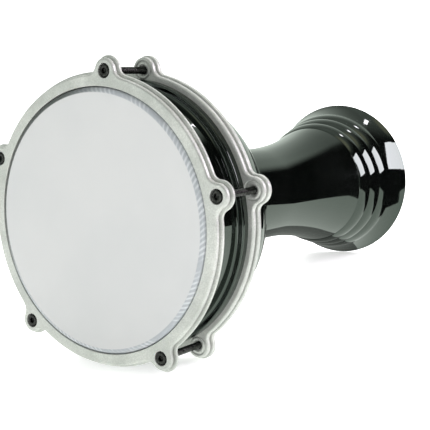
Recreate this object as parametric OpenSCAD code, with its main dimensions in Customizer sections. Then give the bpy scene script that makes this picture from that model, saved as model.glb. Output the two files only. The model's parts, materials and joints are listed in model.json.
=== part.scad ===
// Goblet drum (darbuka) lying on its side: cast shell, bolted tension rim and film head.
// Every piece is drawn about the drum's own axis, which runs along Z from the rim's front
// face (z = 0) to the foot. laid_down() then puts the whole drum on its side, head to -Y.

/* [Playing end] */
// Radius of the circle through the five tuning bolts
bolt_circle_r = 105; // [100:1:110]
// Outer radius of both cast rims between their lugs
rim_r = 104; // [102:0.5:105]
// Radius of the opening that shows the head
rim_opening_r = 94.1; // [93.9:0.1:94.4]
// Radius of the rounded lugs around the bolts
lug_r = 10.5; // [9.5:0.5:12]
// Radius of the hollow fillets beside each lug
lug_fillet_r = 6; // [4:1:9]
// Height of the head's film over the rim's front face
head_rise = 1.5; // [1:0.1:2.5]

/* [Rims] */
// Thickness of the tension rim at its outer lip
tension_rim_t = 6.8; // [6.5:0.1:8]
// Thickness of the tension rim's lip in front of the flesh hoop
rim_lip_t = 2.6; // [2:0.1:3.5]
// Distance from the front face to the counter rim
counter_rim_z = 41.7; // [41.5:0.1:44]
// Thickness of the counter rim
counter_rim_t = 8.3; // [8:0.1:9]

/* [Shell] */
// Thickness of the cast wall
wall_t = 4; // [3:0.5:5]
// Outer radius of the bead that the counter rim pulls against
bead_r = 98.7; // [97.5:0.1:100]
// Outer radius of the bowl behind the bead
bowl_r = 94.5; // [94:0.1:94.8]
// Radius of the bowl's rounded back
bowl_round_r = 80; // [76:1:84]
// Outer radius of the neck
neck_r = 38.6; // [34:0.2:44]
// Where the neck starts to flare
flare_z = 200; // [180:5:205]
// Outer radius of the foot
foot_r = 70.7; // [70:0.1:74]
// Distance from the rim's front face to the end of the foot
foot_z = 345; // [343:1:350]
// Height of the three rounded ribs near the foot
rib_h = 1; // [0.5:0.1:1.5]

/* [Bolts] */
// Length of the tuning bolts under their heads
bolt_length = 50; // [48:1:54]
// Length of the threaded end of the bolts
thread_length = 22; // [20:1:24]

/* [Hidden] */
$fn = 128;

cut = 1;                   // how far a cutter runs past a face
lugs = 5;
lug_step = 360 / lugs;

// M5 socket head cap screw, plain washer and hexagon nut
bolt_r = 2.5;
bolt_head_r = 4.25;
bolt_head_h = 5;
socket_af = 4;
socket_depth = 2.5;
washer_r = 5;
washer_hole_r = 2.7;
washer_t = 1;
nut_af = 8;
nut_t = 4;
nut_bore_r = 2.55;         // running clearance on the bolt's thread
head_play = 0.05;          // under the bolt head, so that it turns on its washer

// Tension rim details
head_sunk = 0.15;          // bolt heads below the front face
counterbore_r = 5.15;
bolt_hole_r = 2.8;
boss_r = 7.2;
boss_t = 4;                // boss behind each lug
hoop_pocket_r = 98.9;
rim_step = [1.8, 2.8, 0];  // inset of the front layer, the groove and the lip
rim_step_z = [3.4, 4.4];   // end of the front layer, start of the lip

// Counter rim details
counter_bore_r = 95;
counter_step = [1.2, 2.6, 0];
counter_step_z = [3.5, 4.5];
countersink_r = 4.2;
countersink_depth = 1.6;
nut_pocket_play = 0.05;
fillet_lap = 0.03;         // fillets reach this far into the round they blend with

seat_z = head_sunk + bolt_head_h + head_play + washer_t;
head_z = head_sunk;
bolt_end_z = head_sunk + bolt_head_h + bolt_length;

// Mouth of the shell and the film that is stretched over it
film_t = 0.25;
film_gap = 0.05;           // film to shell
edge_round_r = 3.4;        // bearing edge, at the film's inside
edge_r = 90.1;             // radius of the bearing edge's crest
edge_z = edge_round_r + film_t - head_rise;
mouth_r = edge_r + edge_round_r - film_gap;
mouth_in_r = mouth_r - wall_t;
mouth_in_round_r = edge_r - mouth_in_r;
collar_bend_z = [5, 7.5];  // where the film's collar leans out towards the hoop
collar_out = 2.9;
collar_end_z = 11.4;

// Flesh hoop: a channel filled with resin that holds the film's edge
hoop_r = 98.6;
hoop_in_r = 94.4;
hoop_t = 0.6;
hoop_end_z = 14;
hoop_inner_leg_z = 10.2;
resin_z = 9.3;
resin_slot = 0.3;          // each side of the film

// Shell profile
bead_z = 35.7;
bead_fillet_r = 2.2;
bead_round_r = 1.2;
bowl_round_z = 48;
bowl_round_angle = 62;
bowl_bore_z = 40;
neck_fillet_r = (bowl_r - neck_r) / (1 - cos(bowl_round_angle)) - bowl_round_r;
neck_z = bowl_round_z + (bowl_round_r + neck_fillet_r) * sin(bowl_round_angle);
rib_pitch = 12;
ribs = 3;
rib_z = foot_z - 55;       // first rib
flare_slope = 0.3;
flare_angle = atan(flare_slope);
flare_round_r = (rib_z - flare_z) / sin(flare_angle);
rib_start_r = neck_r + flare_round_r * (1 - cos(flare_angle));
foot_flare_z = rib_z + ribs * rib_pitch;
foot_flare_r = rib_start_r + flare_slope * (foot_flare_z - rib_z);
foot_edge_r = 1.2;
foot_bend = (foot_r - foot_flare_r - flare_slope * (foot_z - foot_flare_z)) / pow(foot_z - foot_flare_z, 2);

// How the drum lies: on the counter rim's lip, one of its lugs and the foot's edge
counter_rim_end_z = counter_rim_z + counter_rim_t;
tilt = atan((rim_r - foot_r) / (foot_z - counter_rim_end_z));
low_lug = acos((rim_r - lug_r) / bolt_circle_r);   // from straight down to the lug on the floor
lug_angle = [for (i = [0 : lugs - 1]) -(90 - (lug_step / 2 - low_lug)) - lug_step * i];
right_x = max([for (a = lug_angle) bolt_circle_r * cos(a)]) + lug_r;
left_x = min(-rim_r, min([for (a = lug_angle) bolt_circle_r * cos(a)]) - lug_r);
front_y = edge_z * cos(tilt) - edge_r * sin(tilt) - edge_round_r - film_t;
back_y = foot_z * cos(tilt) + foot_r * sin(tilt);
rest = [
  -(right_x + left_x) / 2,
  -(front_y + back_y) / 2,
  rim_r * cos(tilt) + counter_rim_end_z * sin(tilt)
];

module laid_down() {
  translate(rest) rotate([-90 - tilt, 0, 0]) children();
}

// Places its children on the axis of bolt number n
module at_bolt(n) {
  rotate(lug_angle[n - 1]) translate([bolt_circle_r, 0, 0]) children();
}

// Points along an arc about [cx, cy]
function arc(cx, cy, r, from, to, steps) =
  [for (i = [0 : steps]) let (a = from + (to - from) * i / steps) [cx + r * cos(a), cy + r * sin(a)]];

function cone_r(z) = rib_start_r + flare_slope * (z - rib_z);

function rib_points() =
  [for (i = [0 : ribs - 1], t = [0 : 0.125 : 0.9])
    let (z = rib_z + rib_pitch * (i + t)) [cone_r(z) + rib_h * sin(180 * t), z]];

function foot_points(inset, last) =
  [for (z = [foot_flare_z : 3 : last])
    let (d = z - foot_flare_z) [foot_flare_r + flare_slope * d + foot_bend * d * d - inset, z]];

function shell_outside() = concat(
  arc(edge_r, film_t + film_gap - head_rise + mouth_in_round_r, mouth_in_round_r, 180, 270, 4),
  arc(edge_r, edge_z, edge_round_r - film_gap, 276, 360, 14),
  arc(mouth_r + bead_fillet_r, bead_z - bead_fillet_r, bead_fillet_r, 180, 90, 6),
  arc(bead_r - bead_round_r, bead_z + bead_round_r, bead_round_r, -90, 0, 6),
  [[bead_r, counter_rim_z], [bowl_r, counter_rim_z]],
  arc(bowl_r - bowl_round_r, bowl_round_z, bowl_round_r, 0, bowl_round_angle, 20),
  arc(neck_r + neck_fillet_r, neck_z, neck_fillet_r, 180 + bowl_round_angle, 180, 10),
  arc(neck_r + flare_round_r, flare_z, flare_round_r, 180, 180 - flare_angle, 12),
  rib_points(),
  foot_points(0, foot_z - 3),
  arc(foot_r - foot_edge_r, foot_z - foot_edge_r, foot_edge_r, 0, 90, 5)
);

function shell_inside() = concat(
  arc(foot_r - wall_t + foot_edge_r, foot_z - foot_edge_r, foot_edge_r, 90, 180, 5),
  [for (i = [1 : len(foot_points(wall_t, foot_z - 3))])
    foot_points(wall_t, foot_z - 3)[len(foot_points(wall_t, foot_z - 3)) - i]],
  arc(neck_r + flare_round_r, flare_z, flare_round_r + wall_t, 180 - flare_angle, 180, 12),
  arc(neck_r + neck_fillet_r, neck_z, neck_fillet_r + wall_t, 180, 180 + bowl_round_angle, 10),
  arc(bowl_r - bowl_round_r, bowl_round_z, bowl_round_r - wall_t, bowl_round_angle, 0, 20),
  [[mouth_in_r, bowl_bore_z]]
);

module shell() {
  color("#101412") laid_down()
    rotate_extrude() polygon(concat(shell_outside(), shell_inside()));
}

// Hollow fillet between a rim's round edge and one side of a lug on the X axis
module lug_fillet(ring, lug, fillet, side) {
  to_ring = ring + fillet;
  to_lug = lug + fillet;
  a = side * acos((to_ring * to_ring + bolt_circle_r * bolt_circle_r - to_lug * to_lug)
                  / (2 * to_ring * bolt_circle_r));
  centre = to_ring * [cos(a), sin(a)];
  lug_centre = [bolt_circle_r, 0];
  on_lug = lug_centre + (centre - lug_centre) * lug / to_lug;
  difference() {
    polygon([[ring - lug, 0], ring * [cos(a), sin(a)], centre, on_lug, lug_centre]);
    translate(centre) circle(fillet + fillet_lap);
  }
}

// Outline of either rim, drawn in by an inset
module rim_outline(inset) {
  ring = rim_r - inset;
  lug = lug_r - inset;
  fillet = lug_fillet_r + inset;
  circle(ring);
  for (n = [1 : lugs]) rotate(lug_angle[n - 1]) {
    translate([bolt_circle_r, 0]) circle(lug);
    lug_fillet(ring, lug, fillet, 1);
    lug_fillet(ring, lug, fillet, -1);
  }
}

// A rim's body: a front layer, a groove behind it and a full-size lip
module stepped_rim(step, step_z, thickness) {
  linear_extrude(step_z[0]) rim_outline(step[0]);
  linear_extrude(thickness) rim_outline(step[1]);
  translate([0, 0, step_z[1]]) linear_extrude(thickness - step_z[1]) rim_outline(step[2]);
}

module tension_rim() {
  color("#c4c8c0") laid_down() difference() {
    union() {
      stepped_rim(rim_step, rim_step_z, tension_rim_t);
      for (n = [1 : lugs]) at_bolt(n) cylinder(r = boss_r, h = tension_rim_t + boss_t);
    }
    translate([0, 0, -cut]) cylinder(r = rim_opening_r, h = foot_z);
    translate([0, 0, rim_lip_t]) cylinder(r = hoop_pocket_r, h = foot_z);
    for (n = [1 : lugs]) at_bolt(n) {
      translate([0, 0, -cut]) cylinder(r = bolt_hole_r, h = foot_z);
      translate([0, 0, -cut]) cylinder(r = counterbore_r, h = cut + seat_z);
    }
  }
}

module counter_rim() {
  color("#b8bcb4") laid_down() translate([0, 0, counter_rim_z]) difference() {
    stepped_rim(counter_step, counter_step_z, counter_rim_t);
    translate([0, 0, -cut]) cylinder(r = counter_bore_r, h = counter_rim_t + 2 * cut);
    for (n = [1 : lugs]) at_bolt(n) {
      translate([0, 0, -cut]) cylinder(r = bolt_hole_r, h = counter_rim_t + 2 * cut);
      cylinder(r1 = countersink_r, r2 = bolt_hole_r, h = countersink_depth);
      translate([0, 0, counter_rim_t - nut_t])
        cylinder(r = (nut_af / 2 + nut_pocket_play) / cos(30), h = nut_t + cut, $fn = 6);
    }
  }
}

module captive_nut(n) {
  color("#8f9394") laid_down() at_bolt(n) translate([0, 0, counter_rim_end_z - nut_t]) difference() {
    cylinder(r = nut_af / 2 / cos(30), h = nut_t, $fn = 6);
    translate([0, 0, -cut]) cylinder(r = nut_bore_r, h = nut_t + 2 * cut);
  }
}

module washer(n) {
  color("#a9adad") laid_down() at_bolt(n) translate([0, 0, seat_z - washer_t]) difference() {
    cylinder(r = washer_r, h = washer_t);
    translate([0, 0, -cut]) cylinder(r = washer_hole_r, h = washer_t + 2 * cut);
  }
}

module tuning_bolt(n) {
  head_chamfer = 0.5;
  tip_chamfer = 0.6;
  color("#1c1c1c") laid_down() at_bolt(n) translate([0, 0, head_z]) difference() {
    rotate_extrude() polygon([
      [0, 0], [bolt_head_r - head_chamfer, 0], [bolt_head_r, head_chamfer],
      [bolt_head_r, bolt_head_h], [bolt_r, bolt_head_h],
      [bolt_r, bolt_end_z - head_z - tip_chamfer],
      [bolt_r - tip_chamfer, bolt_end_z - head_z], [0, bolt_end_z - head_z]
    ]);
    translate([0, 0, -cut])
      cylinder(r = socket_af / 2 / cos(30), h = socket_depth + cut, $fn = 6);
  }
}

// Film: flat across the head, rolled over the bearing edge, then a collar down to the hoop
module head_film() {
  outer = edge_round_r + film_t;
  color("#e4e6e4") laid_down() rotate_extrude() polygon(concat(
    [[0, edge_z - outer]],
    arc(edge_r, edge_z, outer, 270, 360, 10),
    [
      [edge_r + outer, collar_bend_z[0]],
      [edge_r + outer + collar_out, collar_bend_z[1]],
      [edge_r + outer + collar_out, collar_end_z],
      [edge_r + edge_round_r + collar_out, collar_end_z],
      [edge_r + edge_round_r + collar_out, collar_bend_z[1]],
      [edge_r + edge_round_r, collar_bend_z[0]]
    ],
    arc(edge_r, edge_z, edge_round_r, 360, 270, 10),
    [[0, edge_z - edge_round_r]]
  ));
}

module flesh_hoop() {
  color("#9da19f") laid_down() rotate_extrude() polygon([
    [hoop_r - hoop_t, rim_lip_t], [hoop_r, rim_lip_t], [hoop_r, hoop_end_z],
    [hoop_in_r, hoop_end_z], [hoop_in_r, hoop_inner_leg_z],
    [hoop_in_r + hoop_t, hoop_inner_leg_z], [hoop_in_r + hoop_t, hoop_end_z - hoop_t],
    [hoop_r - hoop_t, hoop_end_z - hoop_t]
  ]);
}

module film_resin() {
  slot_in_r = edge_r + edge_round_r + collar_out - resin_slot;
  slot_out_r = slot_in_r + film_t + 2 * resin_slot;
  floor_z = hoop_end_z - hoop_t;
  color("#d8cfa8") laid_down() {
    translate([0, 0, hoop_inner_leg_z]) difference() {
      cylinder(r = slot_in_r, h = floor_z - hoop_inner_leg_z);
      translate([0, 0, -cut]) cylinder(r = hoop_in_r + hoop_t, h = hoop_end_z);
    }
    translate([0, 0, resin_z]) difference() {
      cylinder(r = hoop_r - hoop_t, h = floor_z - resin_z);
      translate([0, 0, -cut]) cylinder(r = slot_out_r, h = hoop_end_z);
    }
  }
}

shell();
counter_rim();
head_film();
film_resin();
flesh_hoop();
tension_rim();
captive_nut(1);  // captive_nut_1
captive_nut(2);  // captive_nut_2
captive_nut(3);  // captive_nut_3
captive_nut(4);  // captive_nut_4
captive_nut(5);  // captive_nut_5
washer(1);  // washer_1
washer(2);  // washer_2
washer(3);  // washer_3
washer(4);  // washer_4
washer(5);  // washer_5
tuning_bolt(1);  // tuning_bolt_1
tuning_bolt(2);  // tuning_bolt_2
tuning_bolt(3);  // tuning_bolt_3
tuning_bolt(4);  // tuning_bolt_4
tuning_bolt(5);  // tuning_bolt_5
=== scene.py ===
"""Goblet drum (darbuka) lying on its side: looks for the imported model. Row frame, metres."""

import json
import math

import bmesh
import bpy
from mathutils import Matrix, Vector
from mathutils.geometry import tessellate_polygon


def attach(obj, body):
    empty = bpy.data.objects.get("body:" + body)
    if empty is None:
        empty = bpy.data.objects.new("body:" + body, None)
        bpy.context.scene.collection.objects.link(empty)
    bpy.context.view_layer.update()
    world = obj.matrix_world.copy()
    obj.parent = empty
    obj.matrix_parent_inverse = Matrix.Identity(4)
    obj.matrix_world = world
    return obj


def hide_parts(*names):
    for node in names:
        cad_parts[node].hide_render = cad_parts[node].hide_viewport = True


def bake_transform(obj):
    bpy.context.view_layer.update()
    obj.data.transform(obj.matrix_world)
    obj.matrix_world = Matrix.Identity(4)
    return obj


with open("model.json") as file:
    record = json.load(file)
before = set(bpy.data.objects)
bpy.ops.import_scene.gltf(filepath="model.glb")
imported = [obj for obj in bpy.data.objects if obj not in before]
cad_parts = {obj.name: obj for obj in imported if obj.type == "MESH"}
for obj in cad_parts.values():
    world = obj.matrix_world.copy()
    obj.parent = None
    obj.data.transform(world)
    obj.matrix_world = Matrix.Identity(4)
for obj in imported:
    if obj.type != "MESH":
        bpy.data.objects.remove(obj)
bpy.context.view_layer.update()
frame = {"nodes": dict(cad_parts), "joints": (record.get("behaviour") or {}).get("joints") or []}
scene = bpy.context.scene
MM = 0.001
TAU = 2 * math.pi

# ---------------------------------------------------------------- the drum's own frame
# Z runs along the drum's axis, from the rim's front face to the foot. Sizes below are in mm.
joints = {j["name"]: j for j in frame["joints"]}
axis = Vector(joints["head_tension"]["axis"]).normalized()
bolt_points = [Vector(joints[f"bolt_{n}_turn"]["pos_m"]) for n in range(1, 6)]
HEAD_SUNK = 0.15
across = axis.cross(Vector((1, 0, 0)))
origin = sum(bolt_points, Vector()) / 5 - axis * HEAD_SUNK * MM
DRUM = Matrix(
    [
        [1, across.x, axis.x, origin.x],
        [0, across.y, axis.y, origin.y],
        [0, across.z, axis.z, origin.z],
        [0, 0, 0, 1],
    ]
)
BOLT_R = (bolt_points[0] - origin).cross(axis).length / MM
LUG_ANGLES = [math.atan2((p - origin).dot(across), (p - origin).x) for p in bolt_points]

RIM_R, OPENING_R, LUG_R, FILLET_R = 104.0, 94.1, 10.5, 6.0
BOSS_R, BOSS_END, POCKET_R = 7.2, 10.8, 98.9
RIM_T, POCKET_Z = 6.8, 2.6
COUNTERBORE_R, SEAT_Z, HOLE_R = 5.15, 6.2, 2.8
COUNTER_Z, COUNTER_T, COUNTER_BORE_R = 41.7, 8.3, 95.0
NUT_AF, NUT_T = 8.0, 4.0
EDGE_R, EDGE_Z, EDGE_ROUND = 90.1, 2.15, 3.4
FILM_T, COLLAR_OUT, COLLAR_END = 0.25, 2.9, 11.4
FOOT_R, FOOT_Z, WALL = 70.7, 345.0, 4.0
PLEATS = 144
SHELL_SEGMENTS, RIM_SEGMENTS, BOLT_SEGMENTS = 320, 300, 48


# ---------------------------------------------------------------- mesh helpers
class Patchwork:
    """Faces collected patch by patch, then welded along their shared edges."""

    def __init__(self):
        self.points, self.faces = [], []

    def loop(self, points):
        first = len(self.points)
        self.points += [Vector(p) * MM for p in points]
        return list(range(first, len(self.points)))

    def tube(self, loops, material=0):
        """Smooth faces that join each closed loop to the next."""
        loops = [self.loop(points) for points in loops]
        for a, b in zip(loops, loops[1:]):
            for i in range(len(a)):
                k = (i + 1) % len(a)
                self.faces.append(([a[i], a[k], b[k], b[i]], True, material))

    def plate(self, edge, *holes):
        """A flat face inside edge, with holes."""
        rings = [[Vector(p) for p in ring] for ring in (edge, *holes)]
        index = self.loop([p for ring in rings for p in ring])
        for triangle in tessellate_polygon(rings):
            self.faces.append(([index[k] for k in triangle], False, 0))

    def finish(self, name, materials, matrix=DRUM, sharp=32):
        """One object of all the faces. Edges that turn by more than sharp degrees stay crisp."""
        mesh = bpy.data.meshes.new(name)
        bm = bmesh.new()
        points = [bm.verts.new(p) for p in self.points]
        for corners, smooth, material in self.faces:
            if len(set(corners)) < 3:
                continue
            face = bm.faces.new([points[k] for k in corners])
            face.smooth, face.material_index = smooth, material
        bmesh.ops.remove_doubles(bm, verts=bm.verts, dist=2e-6)
        bmesh.ops.dissolve_degenerate(bm, edges=bm.edges, dist=1e-7)
        bmesh.ops.recalc_face_normals(bm, faces=bm.faces)
        for edge in bm.edges:
            joined = len(edge.link_faces) == 2
            edge.smooth = joined and edge.calc_face_angle(0) < math.radians(sharp)
        bm.to_mesh(mesh)
        bm.free()
        mesh.transform(matrix)
        for material in materials:
            mesh.materials.append(material)
        piece = bpy.data.objects.new(name, mesh)
        scene.collection.objects.link(piece)
        return piece


def polar(r, angle, centre=(0.0, 0.0)):
    """The point at r and angle from centre."""
    return (centre[0] + r * math.cos(angle), centre[1] + r * math.sin(angle))


def circle(r, z, count, centre=(0.0, 0.0), start=0.0):
    return [(*polar(r, start + TAU * i / count, centre), z) for i in range(count)]


def arc(cx, cy, r, start, end, steps=6):
    """Points on an arc round (cx, cy), with the angles in degrees."""
    angles = [math.radians(start + (end - start) * i / steps) for i in range(steps + 1)]
    return [(cx + r * math.cos(a), cy + r * math.sin(a)) for a in angles]


def lathe(patches, profile, segments, centre=(0.0, 0.0), material=0):
    """Turns an (r, z) profile round an axis parallel to Z."""
    patches.tube([circle(max(r, 1e-5), z, segments, centre) for r, z in profile], material=material)


def clamp(value):
    return min(max(value, 0), 1)


def bolt_matrix(n):
    """Frame of bolt n, with its X away from the drum's axis."""
    return DRUM @ Matrix.Rotation(LUG_ANGLES[n - 1], 4, "Z") @ Matrix.Translation((BOLT_R * MM, 0, 0))


# ---------------------------------------------------------------- material helpers
SPAN_SOCKETS = ("From Min", "From Max", "To Min", "To Max")


class Nodes:
    """One material's node tree, with its noise, ramp and bump nodes made in a line each."""

    def __init__(self, name, **values):
        self.material = bpy.data.materials.new(name)
        self.material.use_nodes = True
        self.tree = self.material.node_tree
        self.shader = self.tree.nodes["Principled BSDF"]
        for socket, value in values.items():
            self.shader.inputs[socket.replace("_", " ")].default_value = value
        self.object = self.add("ShaderNodeTexCoord").outputs["Object"]

    def add(self, kind, **settings):
        node = self.tree.nodes.new(kind)
        for key, value in settings.items():
            setattr(node, key, value)
        return node

    def link(self, source, target):
        self.tree.links.new(source, target)

    def put(self, socket, source):
        self.link(source, self.shader.inputs[socket])

    def noise(self, scale, detail=2.0, roughness=0.5, stretch=None):
        vector = self.object
        if stretch:
            mapping = self.add("ShaderNodeMapping")
            mapping.inputs["Scale"].default_value = stretch
            self.link(vector, mapping.inputs["Vector"])
            vector = mapping.outputs["Vector"]
        node = self.add("ShaderNodeTexNoise")
        node.inputs["Scale"].default_value = scale
        node.inputs["Detail"].default_value = detail
        node.inputs["Roughness"].default_value = roughness
        self.link(vector, node.inputs["Vector"])
        return node.outputs["Fac"]

    def cells(self, scale):
        node = self.add("ShaderNodeTexVoronoi")
        node.inputs["Scale"].default_value = scale
        self.link(self.object, node.inputs["Vector"])
        return node.outputs["Distance"]

    def span(self, value, low, high, to_low=0.0, to_high=1.0):
        """Maps low to high smoothly onto to_low to to_high."""
        node = self.add("ShaderNodeMapRange", interpolation_type="SMOOTHSTEP")
        for socket, number in zip(SPAN_SOCKETS, (low, high, to_low, to_high)):
            node.inputs[socket].default_value = number
        self.link(value, node.inputs["Value"])
        return node.outputs["Result"]

    def math(self, operation, a, b=None):
        node = self.add("ShaderNodeMath", operation=operation)
        for socket, value in zip(node.inputs, (a, b)):
            if isinstance(value, (int, float)):
                socket.default_value = value
            elif value is not None:
                self.link(value, socket)
        return node.outputs[0]

    def blend(self, factor, a, b):
        """Colour a where factor is 0, b where it is 1."""
        node = self.add("ShaderNodeMix", data_type="RGBA")
        self.link(factor, node.inputs["Factor"])
        colours = [s for s in node.inputs if s.type == "RGBA"]
        for socket, value in zip(colours, (a, b)):
            if isinstance(value, tuple):
                socket.default_value = (*value, 1)
            else:
                self.link(value, socket)
        return [s for s in node.outputs if s.type == "RGBA"][0]

    def bump(self, height, distance, strength, normal=None):
        node = self.add("ShaderNodeBump")
        node.inputs["Strength"].default_value = strength
        node.inputs["Distance"].default_value = distance
        self.link(height, node.inputs["Height"])
        if normal:
            self.link(normal, node.inputs["Normal"])
        return node.outputs["Normal"]

    def axes(self):
        node = self.add("ShaderNodeSeparateXYZ")
        self.link(self.object, node.inputs[0])
        return node.outputs


def lacquer():
    """High-gloss black lacquer: orange peel, handling smudges, hairlines and dust."""
    m = Nodes("black_lacquer", Roughness=0.05, IOR=1.85)
    m.shader.inputs["Specular Tint"].default_value = (0.86, 1.0, 0.9, 1)
    smudge = m.noise(14, 5, 0.6)
    hairline = m.noise(900, 1, 0.4, stretch=(1, 0.03, 1))
    dust = m.cells(420)
    rough = m.span(smudge, 0.35, 0.75, 0.028, 0.075)
    rough = m.math("ADD", rough, m.span(hairline, 0.62, 0.72, 0.0, 0.03))
    m.put("Roughness", m.math("ADD", rough, m.span(dust, 0.0, 0.035, 0.3, 0.0)))
    tone = m.blend(m.span(smudge, 0.3, 0.8), (0.001, 0.0013, 0.0011), (0.0025, 0.003, 0.0027))
    m.put("Base Color", tone)
    peel = m.bump(m.noise(260, 1, 0.4), 0.00002, 0.35)
    m.put("Normal", m.bump(hairline, 0.000004, 0.5, peel))
    return m.material


def cast_inside():
    """Sand-cast inside of the shell under thin black overspray."""
    m = Nodes("cast_inside", Roughness=0.6)
    grain = m.noise(520, 4, 0.65)
    m.put("Base Color", m.blend(m.noise(40, 4), (0.016, 0.017, 0.016), (0.05, 0.052, 0.05)))
    m.put("Roughness", m.span(grain, 0.3, 0.7, 0.5, 0.8))
    m.put("Normal", m.bump(grain, 0.0004, 0.8))
    return m.material


def cast_rim():
    """Tumbled aluminium casting: satin, with fine grain, pores and small dings."""
    m = Nodes("tumbled_aluminium", Metallic=0.5)
    cloud = m.noise(38, 4, 0.6)
    grain = m.noise(1100, 3, 0.6)
    streak = m.noise(420, 2, 0.5, stretch=(1, 1, 0.16))
    pores = m.cells(330)
    tone = m.blend(m.span(cloud, 0.3, 0.7), (0.52, 0.535, 0.505), (0.7, 0.71, 0.675))
    tone = m.blend(m.span(grain, 0.35, 0.7, 0.36, 0.0), tone, (0.3, 0.31, 0.29))
    tone = m.blend(m.span(pores, 0.02, 0.09, 0.55, 0.0), tone, (0.12, 0.12, 0.11))
    m.put("Base Color", tone)
    rough = m.math("ADD", m.span(cloud, 0.3, 0.7, 0.3, 0.42), m.span(streak, 0.3, 0.7, 0.0, 0.1))
    m.put("Roughness", rough)
    relief = m.bump(grain, 0.00007, 0.7)
    relief = m.bump(streak, 0.00005, 0.5, relief)
    m.put("Normal", m.bump(m.span(pores, 0.0, 0.1), 0.00006, 0.6, relief))
    return m.material


def film():
    """Translucent white polyester film, bluer and darker on its roll, with painted shade along the roll's
    fine pleats and painted shade on one side of the roll.
    """
    m = Nodes("head_film", Roughness=0.32, IOR=1.5)
    m.object = m.add("ShaderNodeAttribute", attribute_name="drum_place").outputs["Vector"]
    x, y, _ = m.axes()
    radius = m.math("SQRT", m.math("ADD", m.math("MULTIPLY", x, x), m.math("MULTIPLY", y, y)))
    angle = m.math("ARCTAN2", y, x)
    lean_per_metre, painted_shade_angle = 1500.0, math.radians(-142)
    lean = m.math("MULTIPLY", radius, lean_per_metre)
    swirl = m.math("ADD", m.math("MULTIPLY", angle, float(PLEATS)), lean)
    # Painted shade: stripes that darken the roll along its fine slanting pleats, faded in and out by noise.
    painted_crease_shade = m.span(m.math("SINE", swirl), -0.6, 0.9)
    painted_crease_shade = m.math("MULTIPLY", painted_crease_shade, m.span(m.noise(45, 3), 0.35, 0.6))
    on_edge = m.span(radius, (EDGE_R - 0.3) * MM, (EDGE_R + 0.5) * MM)
    cloud = m.noise(9, 3, 0.6)
    open_film = m.blend(m.span(cloud, 0.3, 0.7), (0.595, 0.61, 0.605), (0.63, 0.64, 0.632))
    edge_film = m.blend(m.span(painted_crease_shade, 0.0, 1.0), (0.4, 0.43, 0.45), (0.58, 0.61, 0.62))
    # Painted shade: the roll darkens almost to black towards one side of the drum, at -142 degrees round its
    # axis.
    painted_roll_shade = m.math("COSINE", m.math("SUBTRACT", angle, painted_shade_angle))
    edge_film = m.blend(m.span(painted_roll_shade, 0.35, 0.85), edge_film, (0.06, 0.068, 0.064))
    m.put("Base Color", m.blend(on_edge, open_film, edge_film))
    m.put("Roughness", m.span(m.noise(160, 3), 0.3, 0.7, 0.28, 0.4))
    m.shader.inputs["Subsurface Weight"].default_value = 0.25
    m.shader.inputs["Subsurface Radius"].default_value = (1, 1, 1)
    m.shader.inputs["Subsurface Scale"].default_value = 0.0008
    m.put("Normal", m.bump(m.noise(700, 2), 0.00001, 0.4))
    return m.material


def steel(name, dark, light, rough, metallic=1.0):
    """Plated or blacked steel with fine drawing marks and a mottled surface."""
    m = Nodes(name, Metallic=metallic)
    mottle = m.noise(600, 4, 0.6)
    marks = m.noise(3000, 2, 0.5, stretch=(1, 0.05, 1))
    m.put("Base Color", m.blend(m.span(mottle, 0.3, 0.7), dark, light))
    mottled = m.span(mottle, 0.3, 0.7, rough, rough + 0.12)
    m.put("Roughness", m.math("ADD", mottled, m.span(marks, 0.4, 0.7, 0.0, 0.08)))
    m.put("Normal", m.bump(marks, 0.00001, 0.5))
    return m.material


def resin():
    """Amber cast resin with a few bubbles."""
    m = Nodes("cast_resin", Roughness=0.3)
    m.put("Base Color", m.blend(m.noise(120, 4), (0.42, 0.33, 0.16), (0.6, 0.5, 0.28)))
    bubbles = m.span(m.cells(900), 0.0, 0.25)
    m.put("Roughness", m.span(bubbles, 0.0, 1.0, 0.6, 0.25))
    m.put("Normal", m.bump(bubbles, 0.00008, 0.6))
    return m.material


def paper():
    """White studio paper."""
    m = Nodes("white_paper", Roughness=0.9)
    m.shader.inputs["Emission Color"].default_value = (1, 1, 1, 1)
    m.shader.inputs["Emission Strength"].default_value = 0.5
    m.put("Base Color", m.blend(m.noise(30, 4), (0.9, 0.9, 0.9), (0.93, 0.93, 0.93)))
    m.put("Normal", m.bump(m.noise(800, 3), 0.00005, 0.2))
    return m.material


LACQUER, INSIDE, CAST, FILM = lacquer(), cast_inside(), cast_rim(), film()
BLACKED = steel("black_oxide", (0.02, 0.021, 0.02), (0.06, 0.06, 0.056), 0.2, 0.9)
ZINC = steel("zinc_plate", (0.42, 0.43, 0.44), (0.6, 0.61, 0.61), 0.28)
STRIP = steel("mill_aluminium", (0.58, 0.6, 0.61), (0.72, 0.74, 0.75), 0.3, 0.5)
RESIN = resin()


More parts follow.
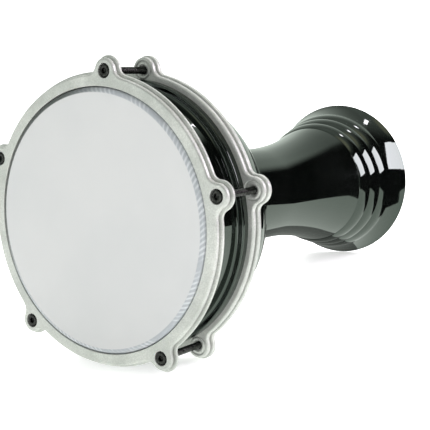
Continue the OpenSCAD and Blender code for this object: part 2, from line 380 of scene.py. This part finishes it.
# ---------------------------------------------------------------- shell
def shell():
    bowl_r, neck_r, bowl_round, bowl_z, bend = 94.5, 38.6, 80.0, 48.0, 62.0
    neck_round = (bowl_r - neck_r) / (1 - math.cos(math.radians(bend))) - bowl_round
    neck_z = bowl_z + (bowl_round + neck_round) * math.sin(math.radians(bend))
    flare_z, slope, rib_pitch, ribs, rib_h, rib_steps = 200.0, 0.3, 12.0, 3, 1.0, 24
    rib_z = FOOT_Z - 55
    # Before the first rib the flare runs straight, a little inside its arc, clear of the window's reflection
    flare, straight_from, straight_slope = math.degrees(math.atan(slope)), 14.0, 0.25
    flare_round = (rib_z - flare_z) / math.sin(math.radians(flare))
    rib_r = neck_r + flare_round * (1 - math.cos(math.radians(flare)))
    foot_z = rib_z + ribs * rib_pitch
    foot_flare_r = rib_r + slope * (foot_z - rib_z)
    foot_bend = (FOOT_R - foot_flare_r - slope * (FOOT_Z - foot_z)) / (FOOT_Z - foot_z) ** 2
    bead_r, bead_z, fillet, bead_round, edge = 98.7, 35.7, 2.2, 1.2, 1.2
    crest = EDGE_ROUND - 0.05
    mouth_r = EDGE_R + crest

    def cone(z):
        return rib_r + slope * (z - rib_z)

    def foot(z, inset=0.0):
        d = z - foot_z
        return foot_flare_r + slope * d + foot_bend * d * d - inset

    lip = EDGE_R - mouth_r + WALL
    outside = arc(EDGE_R, EDGE_Z - crest + lip, lip, 180, 270, 6)
    outside += arc(EDGE_R, EDGE_Z, crest, 275, 360, 18)
    outside += [(mouth_r, z) for z in (8, 14, 20, 26)]
    outside += arc(mouth_r + fillet, bead_z - fillet, fillet, 180, 90, 8)
    outside += arc(bead_r - bead_round, bead_z + bead_round, bead_round, -90, 0, 8)
    outside += [(bead_r, 39), (bead_r, COUNTER_Z), (bowl_r, COUNTER_Z), (bowl_r, 45)]
    outside += arc(bowl_r - bowl_round, bowl_z, bowl_round, 0, bend, 40)
    outside += arc(neck_r + neck_round, neck_z, neck_round, 180 + bend, 180, 20)[1:]
    outside += [(neck_r, z) for z in (150, 165, 180)]
    outside += arc(neck_r + flare_round, flare_z, flare_round, 180, 180 - straight_from, 22)
    last_r, last_z = outside[-1]
    straight = (280, 285, rib_z - 0.8, rib_z - 0.2)
    outside += [(last_r + straight_slope * (z - last_z), z) for z in straight]
    for rib in range(ribs):
        for step in range(rib_steps):
            t = step / rib_steps
            z = rib_z + rib_pitch * (rib + t)
            outside.append((cone(z) + rib_h * 4 * t * (1 - t), z))
    outside += [(foot(z), z) for z in [foot_z + k * 1.25 for k in range(13)]]
    outside += arc(FOOT_R - edge, FOOT_Z - edge, edge, 20, 90, 6)
    inside = arc(FOOT_R - WALL + edge, FOOT_Z - edge, edge, 90, 160, 5)
    inside += [(foot(z, WALL), z) for z in [foot_z + 15 - k * 2.5 for k in range(7)]]
    inside += arc(neck_r + flare_round, flare_z, flare_round + WALL, 180 - flare, 180, 16)
    inside += arc(neck_r + neck_round, neck_z, neck_round + WALL, 180, 180 + bend, 14)
    inside += arc(bowl_r - bowl_round, bowl_z, bowl_round - WALL, bend, 0, 24)
    inside += [(mouth_r - WALL, z) for z in (40, 30, 20, 10, 4)]
    patches = Patchwork()
    lathe(patches, outside, SHELL_SEGMENTS)
    lathe(patches, [outside[-1], *inside, outside[0]], SHELL_SEGMENTS, material=1)
    return patches.finish("shell_lacquered", [LACQUER, INSIDE], sharp=24)


# ---------------------------------------------------------------- cast rims
def outline_frame():
    """Points round a rim's outline with the outward direction at each, lug by lug."""
    fillet_steps, lug_steps, rim_steps = 7, 24, 40
    to_fillet, to_lug = RIM_R + FILLET_R, LUG_R + FILLET_R
    half = math.acos((to_fillet**2 + BOLT_R**2 - to_lug**2) / (2 * to_fillet * BOLT_R))
    found = []
    for angle in sorted(a % TAU for a in LUG_ANGLES):
        lug = Vector((BOLT_R, 0))
        before = Vector(polar(to_fillet, -half))
        after = Vector((before.x, -before.y))
        on_lug = math.atan2((before - lug).y, (before - lug).x)
        run = []
        start, end = math.atan2(-before.y, -before.x), math.atan2((lug - before).y, (lug - before).x)
        for i in range(fillet_steps):
            away = Vector(polar(1, start + (end - start) * i / fillet_steps))
            run.append((before + away * FILLET_R, -away))
        for i in range(lug_steps + 1):
            away = Vector(polar(1, on_lug - 2 * on_lug * i / lug_steps))
            run.append((lug + away * LUG_R, away))
        for i in range(1, fillet_steps + 1):
            away = Vector(polar(1, -end + (end - start) * i / fillet_steps))
            run.append((after + away * FILLET_R, -away))
        gap = TAU / 5 - 2 * half
        for i in range(1, rim_steps):
            away = Vector(polar(1, half + gap * i / rim_steps))
            run.append((away * RIM_R, away))
        turn = Matrix.Rotation(angle, 2)
        found += [(turn @ p, turn @ n) for p, n in run]
    return found


OUTLINE = outline_frame()


def outline(inset, z):
    """The rim's outline, drawn in by inset."""
    return [(p.x - n.x * inset, p.y - n.y * inset, z) for p, n in OUTLINE]


def boss(inset, z, lug_angle):
    """A front lug's boss: its edge on the hoop's pocket, then the rest of it, as two runs of points."""
    pocket_steps, boss_steps = 6, 36
    r, boss_r = POCKET_R + inset, BOSS_R - inset
    half = math.acos((r**2 + BOLT_R**2 - boss_r**2) / (2 * r * BOLT_R))
    inner = [(*polar(r, lug_angle + half * (2 * i / pocket_steps - 1)), z) for i in range(pocket_steps + 1)]
    centre = Vector(polar(BOLT_R, lug_angle))
    first, last = Vector(inner[0][:2]) - centre, Vector(inner[-1][:2]) - centre
    start = math.atan2(last.y, last.x)
    sweep = -((start - math.atan2(first.y, first.x)) % TAU)
    outer = [(*polar(boss_r, start + sweep * i / boss_steps, centre), z) for i in range(boss_steps + 1)]
    return inner, outer


def tension_rim():
    face_r, hoop_r, counterbore_edge, hole_edge = 94.6, 98.6, 5.5, 0.3
    patches = Patchwork()
    # The outline's side, as (inset, z): the front step, a groove and the back step
    side = arc(3.3, 1.5, 1.5, -90, -180)
    side += arc(2.3, 2.9, 0.5, 180, 90, 4)
    side += arc(2.45, 3.75, 0.35, -90, 0, 3)
    side += arc(2.45, 4.05, 0.35, 0, 90, 3)
    side += arc(0.7, 5.1, 0.7, -90, -180, 5)
    side += arc(0.7, 6.1, 0.7, 180, 90, 5)
    patches.tube([outline(inset, z) for inset, z in side])
    wall = [(face_r, 0), (94.4, 0.08), (94.2, 0.25), (OPENING_R, 0.55), (OPENING_R, 2.3)]
    wall += [(94.4, POCKET_Z), (hoop_r, POCKET_Z)]
    lathe(patches, wall, RIM_SEGMENTS)

    # The hoop's pocket, cut into the bosses too
    pocket_steps = 50
    half = math.acos((POCKET_R**2 + BOLT_R**2 - BOSS_R**2) / (2 * POCKET_R * BOLT_R))
    gap = TAU / 5 - 2 * half
    inner_edge, pocket_loop = [], []
    for angle in sorted(a % TAU for a in LUG_ANGLES):
        inner, outer = boss(0, RIM_T, angle)
        turns = [angle + half + gap * i / pocket_steps for i in range(pocket_steps)]
        between = [(*polar(POCKET_R, turn), RIM_T) for turn in turns]
        inner_edge += outer[:0:-1] + between
        pocket_loop += inner[:-1] + between
        loops = []
        for inset, z in ((0, RIM_T), (0, 10.3), (0.15, 10.65), (0.5, BOSS_END)):
            a, b = boss(inset, z, angle)
            loops.append(a[:-1] + b[:-1])
        patches.tube(loops)
        hole = circle(HOLE_R + hole_edge, BOSS_END, BOLT_SEGMENTS, polar(BOLT_R, angle))
        patches.plate(loops[-1], hole)
    floor = [(x, y, POCKET_Z) for x, y, _ in pocket_loop]
    patches.tube([floor, pocket_loop])
    patches.plate(outline(0.7, RIM_T), inner_edge)
    patches.plate(floor, circle(hoop_r, POCKET_Z, RIM_SEGMENTS))
    bores = []
    for angle in LUG_ANGLES:
        centre = polar(BOLT_R, angle)
        bore = [(counterbore_edge, 0), (5.3, 0.07), (COUNTERBORE_R, 0.3), (COUNTERBORE_R, SEAT_Z)]
        bore += [(HOLE_R, SEAT_Z), (HOLE_R, BOSS_END - hole_edge), (HOLE_R + hole_edge, BOSS_END)]
        lathe(patches, bore, BOLT_SEGMENTS, centre)
        bores.append(circle(counterbore_edge, 0, BOLT_SEGMENTS, centre))
    patches.plate(outline(3.3, 0), circle(face_r, 0, RIM_SEGMENTS), *bores)
    return patches.finish("rim_front_cast", [CAST])


def hex_loop(apothem, z, centre=(0.0, 0.0), turn=0.0):
    """A hexagon with as many points as a bolt's circles, so that a tube can join them."""
    found = []
    for i in range(BOLT_SEGMENTS):
        a = TAU * i / BOLT_SEGMENTS
        r = apothem / math.cos((a % (TAU / 6)) - TAU / 12)
        found.append((*polar(r, a + turn, centre), z))
    return found


def counter_rim():
    z0, bore_edge, nut_gap, nut_edge = COUNTER_Z, 95.5, 0.05, 0.3
    patches = Patchwork()
    side = arc(2.6, 1.4, 1.4, -90, -180)
    side += arc(1.7, 3.0, 0.5, 180, 90, 4)
    side += arc(2.25, 3.85, 0.35, -90, 0, 3)
    side += arc(2.25, 4.15, 0.35, 0, 90, 3)
    side += arc(0.8, 5.3, 0.8, -90, -180, 5)
    side += arc(0.9, 7.4, 0.9, 180, 90, 5)
    patches.tube([outline(inset, z0 + z) for inset, z in side])
    bore = [(bore_edge, 0), (95.2, 0.1), (COUNTER_BORE_R, 0.5)]
    bore += [(COUNTER_BORE_R, 7.8), (95.2, 8.2), (bore_edge, COUNTER_T)]
    lathe(patches, [(r, z0 + z) for r, z in bore], RIM_SEGMENTS)
    # Round each bolt hole: a ring-shaped groove, a countersink, the hole and the nut's pocket
    groove = [(7.4, 0), (7.15, 0.12), (6.9, 0.4), (6.4, 0.6), (5.9, 0.4), (5.65, 0.12), (5.4, 0)]
    groove += [(4.5, 0), (4.2, 0.12), (HOLE_R, 1.6), (HOLE_R, COUNTER_T - NUT_T)]
    apothem = NUT_AF / 2 + nut_gap
    rings, pockets = [], []
    for angle in LUG_ANGLES:
        centre = polar(BOLT_R, angle)
        loops = [circle(r, z0 + z, BOLT_SEGMENTS, centre, angle) for r, z in groove]
        for z in (COUNTER_T - NUT_T, COUNTER_T - nut_edge):
            loops.append(hex_loop(apothem, z0 + z, centre, angle))
        loops.append(hex_loop(apothem + nut_edge, z0 + COUNTER_T, centre, angle))
        patches.tube(loops)
        rings.append(loops[0])
        pockets.append(loops[-1])
    patches.plate(outline(2.6, z0), circle(bore_edge, z0, RIM_SEGMENTS), *rings)
    back = z0 + COUNTER_T
    patches.plate(outline(0.9, back), circle(bore_edge, back, RIM_SEGMENTS), *pockets)
    return patches.finish("rim_counter_cast", [CAST])


# ---------------------------------------------------------------- film, hoop
def head_film():
    """Film over the bearing edge, with its rolled edge drawn into fine slanting pleats."""
    outer, pleat_h = EDGE_ROUND + FILM_T, 0.07
    sides = []
    for r, offset in ((outer, 0.0), (EDGE_ROUND, FILM_T)):
        run = [(x, EDGE_Z - r) for x in (0.001, 30, 60, 80, 86, 88, 89, 89.7)]
        run += arc(EDGE_R, EDGE_Z, r, 270, 360, 16)
        run += [(EDGE_R + r, z) for z in (3, 4, 5)]
        run += [(EDGE_R + r + COLLAR_OUT * t, 5 + 2.5 * t) for t in (0.25, 0.5, 0.75, 1)]
        run += [(EDGE_R + r + COLLAR_OUT, z) for z in (9, COLLAR_END)]
        sides.append(run)
    profile = sides[0] + list(reversed(sides[1]))
    segments = PLEATS * 6
    loops = []
    for r, z in profile:
        raised = pleat_h * clamp((r - (EDGE_R - 0.3)) / 1.5) * clamp((7.5 - z) / 2.5)
        out = clamp((r - EDGE_R) / outer)
        loop = []
        for i in range(segments):
            a = TAU * i / segments
            lift = raised * math.cos(PLEATS * a + 1.5 * r + 1.2 * z)
            loop.append((*polar(r + lift * out, a), z - lift * (1 - out)))
        loops.append(loop)
    patches = Patchwork()
    patches.tube(loops)
    piece = patches.finish("film_head", [FILM], sharp=50)
    drum_place = piece.data.attributes.new("drum_place", "FLOAT_VECTOR", "POINT")
    to_drum = DRUM.inverted()
    drum_place.data.foreach_set("vector", [c for v in piece.data.vertices for c in to_drum @ v.co])
    return piece


def flesh_hoop():
    """Channel of bent strip, t thick, with its long leg outside and its short leg inside."""
    outer, inner, t, front, end, leg, r = 98.6, 94.4, 0.6, POCKET_Z, 14.0, 10.2, 0.9
    profile = [(outer - t, front + 0.1), (outer - t / 2, front), (outer, front + 0.1)]
    profile += arc(outer - r, end - r, r, 0, 90) + arc(inner + r, end - r, r, 90, 180)
    profile += [(inner, leg + 0.1), (inner + t / 2, leg), (inner + t, leg + 0.1)]
    profile += arc(inner + r, end - r, r - t, 180, 90, 4) + arc(outer - r, end - r, r - t, 90, 0, 4)
    patches = Patchwork()
    lathe(patches, [*profile, profile[0]], RIM_SEGMENTS)
    return patches.finish("hoop_channel", [STRIP], sharp=50)


# ---------------------------------------------------------------- bolts, nuts
def tuning_bolt(n):
    """M5 x 50 socket cap screw with a plain shank and a rolled thread."""
    head_r, head_h, shank_r, end = 4.25, 5.0, 2.5, 55.0
    thread_z, pitch, depth, run_in, steps_per_turn = 33.0, 0.8, 0.45, 1.6, 8
    apothem, lead, tip_bevel, z0 = 2.0, 2.45, 0.8, HEAD_SUNK
    # The socket, from its drilled bottom up to the cone that its mouth is cut with
    loops = [circle(1e-4, z0 + 3.2, BOLT_SEGMENTS), circle(1.9, z0 + 2.6, BOLT_SEGMENTS)]
    loops.append(hex_loop(apothem, z0 + 2.5))
    loops.append([(x, y, z + (lead - math.hypot(x, y)) * 0.6) for x, y, z in hex_loop(apothem, z0)])
    turned = [(lead, 0), (3.45, 0), (3.6, 0.02), (3.85, 0.12), (4.08, 0.33), (4.22, 0.6), (head_r, 0.85)]
    turned += [(head_r, head_h - 0.2), (head_r - 0.2, head_h), (2.8, head_h), (shank_r, head_h + 0.3)]
    turned += [(shank_r, z) for z in (12, 20, 28, thread_z - 1.8)]
    loops += [circle(r, z0 + z, BOLT_SEGMENTS) for r, z in turned]
    thread_start = thread_z - run_in
    steps = int((end - thread_start) / (pitch / steps_per_turn))
    for k in range(1, steps + 1):
        z = thread_start + k * pitch / steps_per_turn
        grown = clamp((z - thread_start) / run_in)
        tip = shank_r - max(0.0, z - (end - tip_bevel)) * 0.8
        loop = []
        for i in range(BOLT_SEGMENTS):
            phase = (z / pitch - i / BOLT_SEGMENTS) % 1
            tooth = clamp(abs(phase - 0.5) * 2.4 - 0.2)
            r = min(shank_r - depth * grown * (1 - tooth), tip)
            loop.append((*polar(r, TAU * i / BOLT_SEGMENTS), z0 + z))
        loops.append(loop)
    loops.append(circle(1e-4, z0 + end, BOLT_SEGMENTS))
    patches = Patchwork()
    patches.tube(loops)
    return patches.finish(f"bolt_screw_{n}", [BLACKED], bolt_matrix(n), sharp=40)


def nut(n):
    """Hexagon nut with 30-degree chamfers on its corners. Its bore is plain."""
    front, back = COUNTER_Z + COUNTER_T - NUT_T, COUNTER_Z + COUNTER_T
    bore, crown, edge = 2.55, 3.85, 0.3

    def corner_loop(z, inwards):
        loop = []
        for x, y, _ in hex_loop(NUT_AF / 2 - 0.02, 0):
            drop = max(0.0, math.hypot(x, y) - crown) * 0.58
            loop.append((x, y, z + drop * inwards))
        return loop

    turned_front = [(bore, front + edge), (bore + edge, front), (crown, front)]
    turned_back = [(crown, back), (bore + edge, back), (bore, back - edge), (bore, front + edge)]
    loops = [circle(r, z, BOLT_SEGMENTS) for r, z in turned_front]
    loops += [corner_loop(front, 1), corner_loop(back, -1)]
    loops += [circle(r, z, BOLT_SEGMENTS) for r, z in turned_back]
    patches = Patchwork()
    patches.tube(loops)
    return patches.finish(f"nut_{n}", [ZINC], bolt_matrix(n))


# ---------------------------------------------------------------- assemble
def place(piece, body, slot, *nodes):
    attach(piece, body)
    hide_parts(*nodes)
    return piece


place(shell(), "drum_body", "shell_lacquer", "shell")
place(counter_rim(), "drum_body", "cast_rim", "counter_rim")
place(tension_rim(), "tension_ring", "cast_rim", "tension_rim")
place(flesh_hoop(), "tension_ring", "flesh_hoop", "flesh_hoop")
for n in range(1, 6):
    place(tuning_bolt(n), f"bolt_{n}", "black_bolt", f"tuning_bolt_{n}")
    place(nut(n), "drum_body", "nut_steel", f"captive_nut_{n}")
head = head_film()
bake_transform(head)
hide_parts("head_film")
# The film's cut radius: flat to the edge, round it, down the shell, along the collar and in the hoop
for name, node in frame["nodes"].items():
    if name.startswith("washer_"):
        finish = ZINC
    elif name == "film_resin":
        finish = RESIN
    else:
        continue
    node.data.materials.clear()
    node.data.materials.append(finish)

# ---------------------------------------------------------------- floor, light, camera
ROOM_R = 1.6


def only_in_reflections(thing):
    for ray in ("camera", "diffuse", "shadow", "transmission"):
        setattr(thing, f"visible_{ray}", False)


def staged(name, corners, z, material):
    """A flat card in the studio, at height z. It isn't part of the drum."""
    mesh = bpy.data.meshes.new(name)
    mesh.from_pydata([(x, y, z) for x, y in corners], [], [list(range(len(corners)))])
    mesh.materials.append(material)
    card = bpy.data.objects.new(name, mesh)
    scene.collection.objects.link(card)
    return card


def glowing(name, strength):
    """A matt black material whose light is all its own."""
    m = Nodes(name, Roughness=1.0)
    m.shader.inputs["Specular IOR Level"].default_value = 0
    m.shader.inputs["Base Color"].default_value = (0, 0, 0, 1)
    m.shader.inputs["Emission Strength"].default_value = strength
    return m


# Painted reflection: the pale green-grey glow of a card that only reflections see.
def painted_reflection_card(name, glow):
    m = glowing(name, glow)
    m.put("Emission Color", m.blend(m.noise(9, 2), (0.8, 0.88, 0.8), (0.95, 1.0, 0.95)))
    return m.material


def floor_cards():
    """The paper floor, and cards seen only in reflections that paint the floor as the lacquer shows it: one
    pale (painted reflection of the lit floor), one grey (painted shadow under the drum), one black (painted
    dark reflection beside it).
    """
    staged("floor", [(-6, -6), (6, -6), (6, 6), (-6, 6)], 0, paper())
    around = [(-1.2, -0.5), (1.2, -0.5), (1.2, 1.4), (-1.2, 1.4)]
    under = [(0.009, 0.0), (0.013, 0.3), (-0.6, 0.9), (-0.6, -0.1)]
    beside = [(0.06, 0.185), (0.13, 0.182), (0.21, 0.2), (0.33, 0.14), (0.62, -0.3)]
    beside += [(1.7, -0.6), (1.7, 1.2), (0.4, 1.6), (0.02, 0.6)]
    # Painted reflections and a painted shadow, seen only in glossy surfaces: the lit floor, its shadow under
    # the drum and a black patch beside it.
    only_in_reflections(staged("floor_reflection_card", around, 0.0004, painted_reflection_card("painted_floor_reflection", 1.3)))
    only_in_reflections(staged("shade_floor", under, 0.0006, painted_reflection_card("floor_shade", 0.32)))
    only_in_reflections(staged("dark_reflection_card", beside, 0.0008, painted_reflection_card("painted_dark_reflection", 0.002)))


def studio_world():
    """White surroundings, dimmer on the head's side than behind the drum."""
    scene.world = bpy.data.worlds.new("studio")
    scene.world.use_nodes = True
    sky = scene.world.node_tree
    background = sky.nodes["Background"]
    direction = sky.nodes.new("ShaderNodeTexCoord").outputs["Generated"]
    axes = sky.nodes.new("ShaderNodeSeparateXYZ")
    sky.links.new(direction, axes.inputs[0])
    strength = sky.nodes.new("ShaderNodeMapRange")
    strength.interpolation_type = "SMOOTHSTEP"
    for socket, number in zip(SPAN_SOCKETS, (-0.7, 0.3, 0.36, 1.5)):
        strength.inputs[socket].default_value = number
    sky.links.new(axes.outputs["Y"], strength.inputs["Value"])
    sky.links.new(strength.outputs["Result"], background.inputs["Strength"])
    background.inputs["Color"].default_value = (1, 1, 1, 1)


def painted_reflection_look():
    """Painted reflections of the studio, seen only in glossy surfaces: a dim grey backdrop, dark on the +X
    side, a paler ceiling and front, and a warm patch overhead.
    """
    m = glowing("painted_room_reflection", 1.0)
    x, y, z = m.axes()

    def along(a, b, c):
        """How far a point of the dome lies along a direction, from -1 to 1."""
        level = m.math("ADD", m.math("MULTIPLY", x, a / ROOM_R), m.math("MULTIPLY", y, b / ROOM_R))
        return m.math("ADD", level, m.math("MULTIPLY", z, c / ROOM_R))

    backdrop = m.span(z, 0.05 * ROOM_R, 0.95 * ROOM_R, 1.15, 0.28)
    level = m.math("MULTIPLY", backdrop, m.span(along(0.949, -0.208, -0.232), -0.16, 0.05, 1.0, 0.0))
    ceiling = m.span(z, 0.6 * ROOM_R, 0.92 * ROOM_R, 0.0, 0.45)
    front = m.span(z, 0.45 * ROOM_R, 0.6 * ROOM_R, 0.5, 0.1)
    front = m.math("MULTIPLY", m.span(y, -0.55 * ROOM_R, -0.8 * ROOM_R), front)
    level = m.math("MAXIMUM", m.math("MAXIMUM", level, ceiling), front)
    level = m.math("MULTIPLY", level, m.span(m.noise(2, 1), 0.2, 0.8, 0.92, 1.08))
    tone = m.blend(level, (0, 0, 0), (0.9, 1.0, 0.91))
    # Painted reflection: a warm patch high up on the +X side.
    painted_warm_reflection = m.span(along(0.42, 0.15, 0.895), 0.94, 0.99)
    m.put("Emission Color", m.blend(painted_warm_reflection, tone, (0.8, 0.76, 0.56)))
    return m.material


def painted_room_reflection():
    # A dome of painted reflections, seen only in glossy surfaces.
    mesh = bpy.data.meshes.new("painted_reflection_dome")
    dome = bmesh.new()
    bmesh.ops.create_uvsphere(dome, u_segments=48, v_segments=32, radius=ROOM_R)
    below = [v for v in dome.verts if v.co.z < -0.05 * ROOM_R]
    bmesh.ops.delete(dome, geom=below, context="VERTS")
    dome.to_mesh(mesh)
    dome.free()
    mesh.materials.append(painted_reflection_look())
    painted_reflection_dome = bpy.data.objects.new("painted_reflection_dome", mesh)
    scene.collection.objects.link(painted_reflection_dome)
    only_in_reflections(painted_reflection_dome)


def softbox(name, place, target, size, radiance, colour=(1, 1, 1)):
    """A rectangular lamp at place, facing target, as bright as radiance."""
    data = bpy.data.lights.new(name, "AREA")
    data.shape, data.size, data.size_y, data.color = "RECTANGLE", size[0], size[1], colour
    data.energy = radiance * math.pi * size[0] * size[1]
    lamp = bpy.data.objects.new(name, data)
    scene.collection.objects.link(lamp)
    lamp.location = place
    lamp.rotation_mode = "QUATERNION"
    lamp.rotation_quaternion = (Vector(target) - Vector(place)).to_track_quat("-Z", "Y")
    lamp.visible_camera = False
    return lamp


def lights():
    """Two lamps that light the drum, then a window and a small lamp that its lacquer shows as well."""
    softbox("overhead", (-0.4, 0.7, 1.3), (0, 0, 0), (1.6, 1.2), 4.6).visible_glossy = False
    softbox("fill", (0.4, -0.65, 0.15), (0.05, -0.17, 0.1), (0.3, 0.3), 1.1).visible_glossy = False
    softbox("window", (0.72, 0.345, 0.36), (0.05, 0.13, 0.095), (0.38, 0.45), 8.5, (1.0, 0.9, 1.02))
    softbox("lamp", (0.12, 0.43, 0.53), (0.03, 0.15, 0.12), (0.045, 0.045), 14, (1.0, 0.9, 1.0))


def camera():
    """The photograph's viewpoint, fitted in the drum's frame with lengths in bolt-circle radii."""
    azimuth, elevation, roll, drum_roll = (math.radians(a) for a in (35.247, 10.518, 3.365, 8.9))
    target, distance, lens, sensor = Vector((0.951, 0, 0.195)), 6.301, 86.557, 36
    level = math.cos(elevation)
    back = Vector((math.sin(azimuth) * level, -math.cos(azimuth) * level, math.sin(elevation)))
    right = Vector((math.cos(azimuth), math.sin(azimuth), 0))
    up = back.cross(right)
    tilted = math.cos(roll) * right + math.sin(roll) * up
    up = -math.sin(roll) * right + math.cos(roll) * up
    place = target + back * distance
    rolled = Matrix.Rotation(drum_roll, 3, "Y")
    to_row = DRUM.to_3x3() @ Matrix(((1, 0, 0), (0, 0, -1), (0, 1, 0))) @ rolled
    eye = bpy.data.objects.new("camera", bpy.data.cameras.new("camera"))
    scene.collection.objects.link(eye)
    turn = Matrix([to_row @ tilted, to_row @ up, to_row @ back]).transposed().to_4x4()
    eye.matrix_world = Matrix.Translation(origin + to_row @ place * (BOLT_R * MM)) @ turn
    eye.data.sensor_width, eye.data.lens = sensor, lens
    eye.data.clip_start, eye.data.clip_end = 0.01, 50
    scene.camera = eye


floor_cards()
studio_world()
painted_room_reflection()
lights()
camera()
scene.view_settings.view_transform = "Standard"
